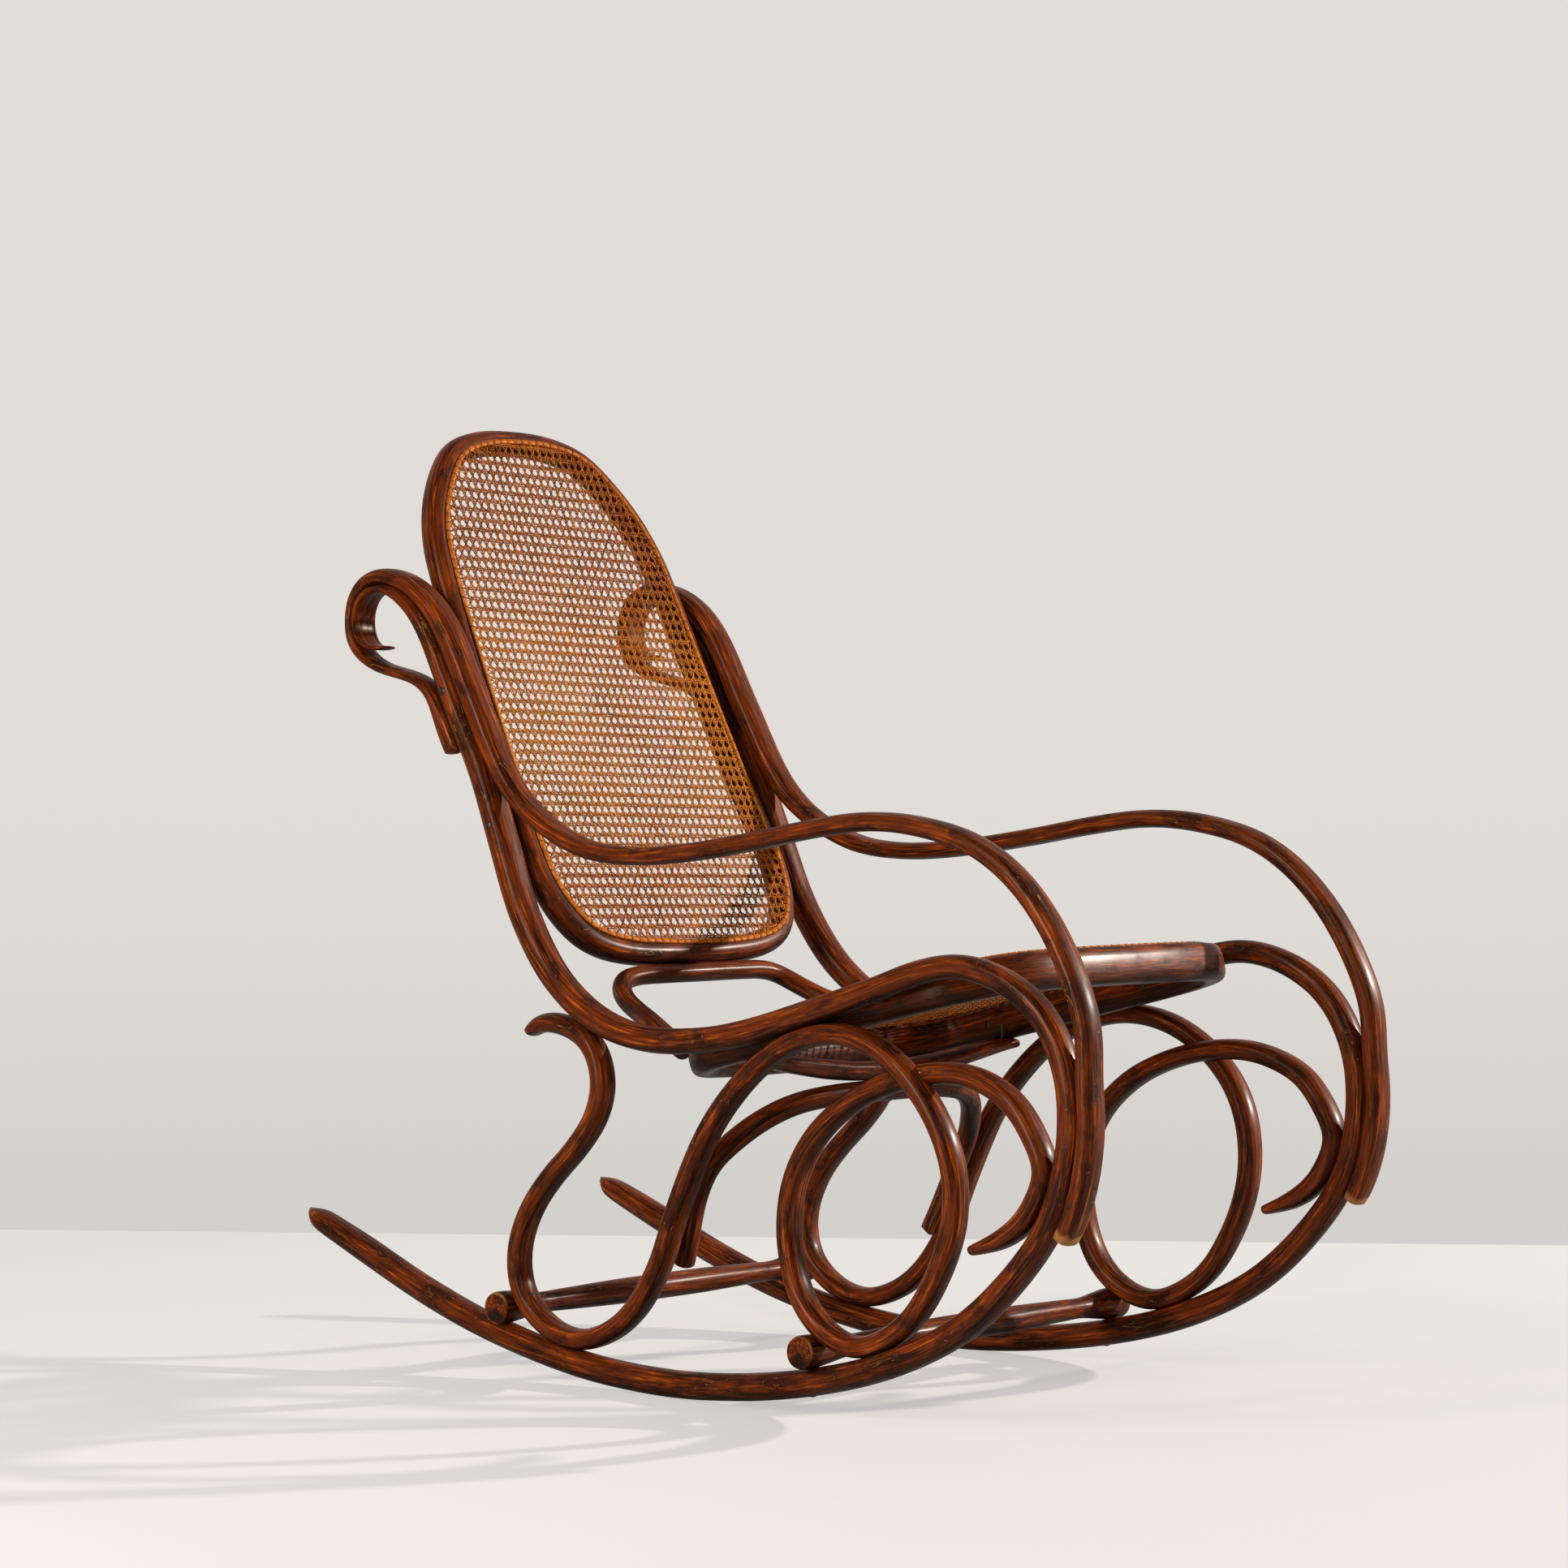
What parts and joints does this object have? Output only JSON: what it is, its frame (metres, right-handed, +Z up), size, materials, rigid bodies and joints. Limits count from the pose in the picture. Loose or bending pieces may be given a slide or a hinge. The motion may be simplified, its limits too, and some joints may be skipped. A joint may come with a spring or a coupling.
{
  "type": "bentwood rocking chair",
  "caption": "Steam-bent wooden rocking chair with scrolled side frames, curled armrests, and a caned oval back and seat.",
  "frame": {"origin": "on the floor, in the middle of the chair's length and width", "axes": "+X to the front of the chair, along its length, +Y to the sitter's left, across its width, +Z up"},
  "size_m": [1.0502, 0.5284, 0.9955],
  "materials": {
    "beech": "reddish-brown stained and varnished beech, worn on its edges",
    "cane": "aged golden-brown rattan cane, satin",
    "binding": "orange-brown cane binder, satin",
    "screws": "dull dark steel screws with worn slots"
  },
  "bodies": {
    "root": {"left_rail": "beech", "right_rail": "beech", "left_arm": "beech", "right_arm": "beech", "left_scroll": "beech", "right_scroll": "beech", "back_ring": "beech", "back_cane": "cane", "back_binder": "binding", "seat_rim": "beech", "seat_cane": "cane", "seat_binder": "binding", "back_hoop": "beech", "arch": "beech", "bow": "beech", "rear_stretcher": "beech", "front_stretcher": "beech", "screw_arch_top": "screws", "left_screw_arm_upper": "screws", "right_screw_arm_upper": "screws", "left_screw_arm_front_high": "screws", "right_screw_arm_front_high": "screws", "left_screw_arm_front_low": "screws", "right_screw_arm_front_low": "screws", "left_screw_arm_foot": "screws", "right_screw_arm_foot": "screws", "left_screw_scroll_rear": "screws", "right_screw_scroll_rear": "screws", "left_screw_scroll_seat": "screws", "right_screw_scroll_seat": "screws", "left_screw_scroll_front": "screws", "right_screw_scroll_front": "screws", "left_screw_stretcher_rear": "screws", "right_screw_stretcher_rear": "screws", "left_screw_stretcher_front": "screws", "right_screw_stretcher_front": "screws", "left_screw_runner_rear": "screws", "right_screw_runner_rear": "screws", "left_screw_runner_front": "screws", "right_screw_runner_front": "screws", "left_screw_ring_low": "screws", "right_screw_ring_low": "screws", "left_screw_ring_high": "screws", "right_screw_ring_high": "screws", "left_screw_seat_rear": "screws", "right_screw_seat_rear": "screws", "left_screw_seat_front": "screws", "right_screw_seat_front": "screws", "left_screw_arch_leg": "screws", "right_screw_arch_leg": "screws", "left_screw_hoop_bar": "screws", "right_screw_hoop_bar": "screws", "left_screw_hoop_leg": "screws", "right_screw_hoop_leg": "screws", "left_screw_bow_end": "screws", "right_screw_bow_end": "screws"}
  },
  "joints": []
}
